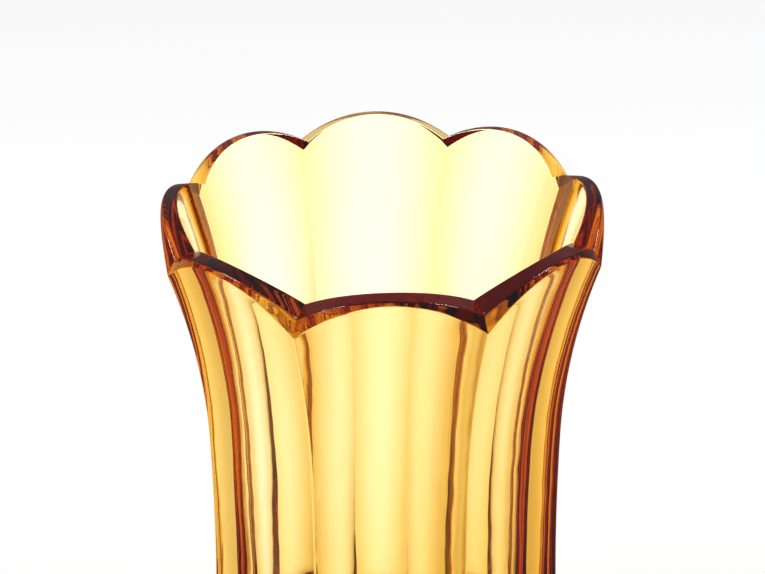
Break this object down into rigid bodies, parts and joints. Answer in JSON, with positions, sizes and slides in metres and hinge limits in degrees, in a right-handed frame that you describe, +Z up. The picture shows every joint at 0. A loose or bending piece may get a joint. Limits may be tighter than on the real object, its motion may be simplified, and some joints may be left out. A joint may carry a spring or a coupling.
{
  "type": "glass vase",
  "caption": "Heavy amber glass vase, waisted and cut in flat panels outside, round inside, with a scalloped and bevelled rim, for holding cut flowers.",
  "frame": {"origin": "centre of the flat base, on the vase's axis", "axes": "+Z up along the vase's axis; +X, -X, +Y and -Y each face the middle of a panel"},
  "size_m": [0.13, 0.13, 0.2179],
  "materials": {
    "amber_glass": "polished"
  },
  "bodies": {
    "root": {"vase_body": "amber_glass"}
  },
  "joints": []
}
